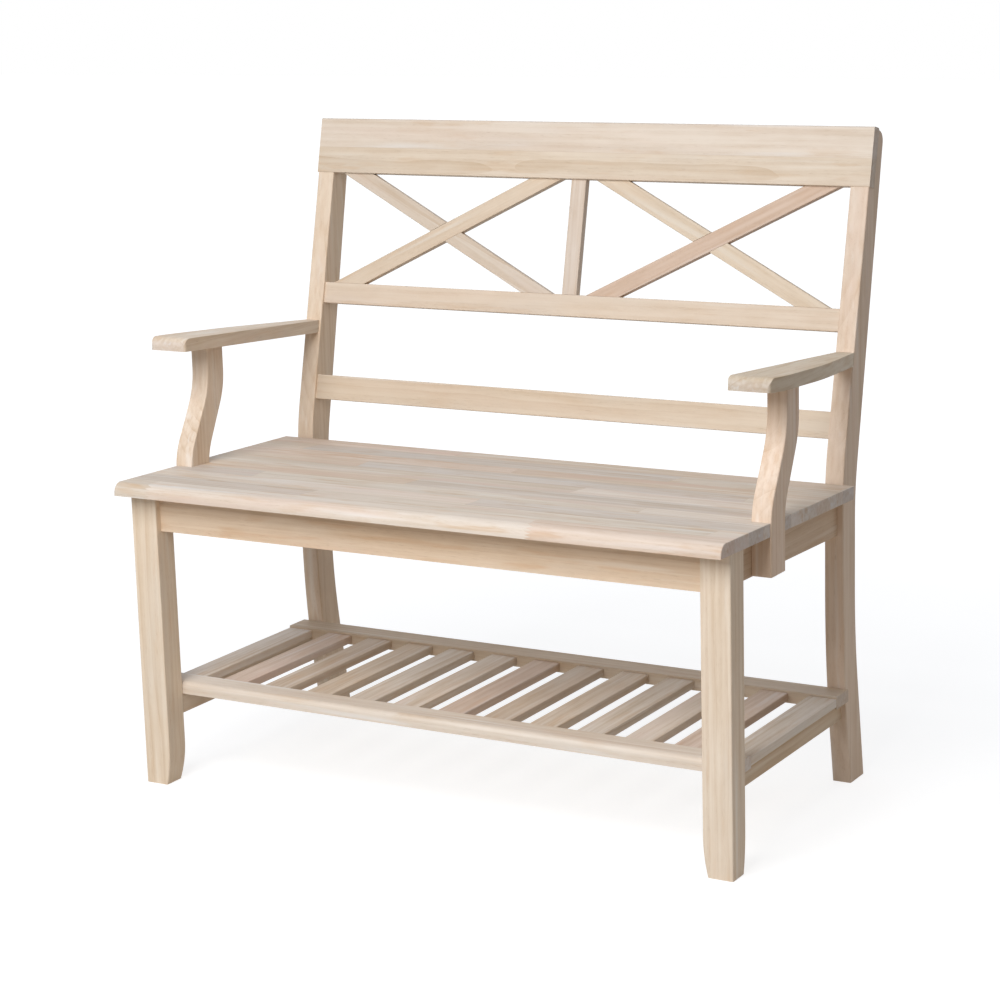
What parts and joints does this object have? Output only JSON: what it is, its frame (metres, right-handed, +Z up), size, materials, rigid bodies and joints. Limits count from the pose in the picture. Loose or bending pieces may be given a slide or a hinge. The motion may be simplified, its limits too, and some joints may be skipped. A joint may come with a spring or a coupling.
{
  "type": "bench",
  "caption": "Wooden entry bench with crossed-brace back panels, two arms on curved supports, a solid seat and a slatted shelf near the floor.",
  "frame": {"origin": "on the floor, under the middle of the whole bench in width and in depth", "axes": "+X to the right of someone who faces the bench, +Y from the front to the back, +Z up"},
  "size_m": [0.9884, 0.5801, 0.9311],
  "materials": {
    "frame_wood": "unfinished pale rubberwood, planed and sanded, eased edges",
    "seat_wood": "unfinished pale rubberwood, glued staves with finger joints, sanded",
    "shelf_wood": "unfinished pale rubberwood, planed and sanded",
    "dowel_wood": "plain hardwood dowel rod",
    "screw_steel": "bright zinc plate"
  },
  "bodies": {
    "root": {"rear_post_left": "frame_wood", "rear_post_right": "frame_wood", "front_leg_left": "frame_wood", "front_leg_right": "frame_wood", "crest_rail": "frame_wood", "middle_back_rail": "frame_wood", "lower_back_rail": "frame_wood", "centre_stile": "frame_wood", "brace_left_rising": "frame_wood", "brace_left_falling": "frame_wood", "brace_right_rising": "frame_wood", "brace_right_falling": "frame_wood", "front_apron": "frame_wood", "rear_apron": "frame_wood", "side_apron_left": "frame_wood", "side_apron_right": "frame_wood", "corner_block_front_left": "frame_wood", "corner_block_front_right": "frame_wood", "corner_block_rear_left": "frame_wood", "corner_block_rear_right": "frame_wood", "seat_panel": "seat_wood", "arm_left": "frame_wood", "arm_right": "frame_wood", "arm_support_left": "frame_wood", "arm_support_right": "frame_wood", "shelf_stretcher_left": "frame_wood", "shelf_stretcher_right": "frame_wood", "shelf_front_rail": "shelf_wood", "shelf_rear_rail": "shelf_wood", "shelf_slat_01": "shelf_wood", "shelf_slat_02": "shelf_wood", "shelf_slat_03": "shelf_wood", "shelf_slat_04": "shelf_wood", "shelf_slat_05": "shelf_wood", "shelf_slat_06": "shelf_wood", "shelf_slat_07": "shelf_wood", "shelf_slat_08": "shelf_wood", "shelf_slat_09": "shelf_wood", "shelf_slat_10": "shelf_wood", "shelf_slat_11": "shelf_wood", "shelf_slat_12": "shelf_wood", "shelf_slat_13": "shelf_wood", "apron_dowels": "dowel_wood", "rear_apron_dowels": "dowel_wood", "back_rail_dowels": "dowel_wood", "crest_dowels": "dowel_wood", "brace_dowels": "dowel_wood", "stile_dowels": "dowel_wood", "arm_post_dowels": "dowel_wood", "arm_support_dowels": "dowel_wood", "stretcher_dowels": "dowel_wood", "slat_dowels": "dowel_wood", "corner_block_screws": "screw_steel", "seat_screws": "screw_steel", "arm_support_screws": "screw_steel", "shelf_screws": "screw_steel"}
  },
  "joints": []
}
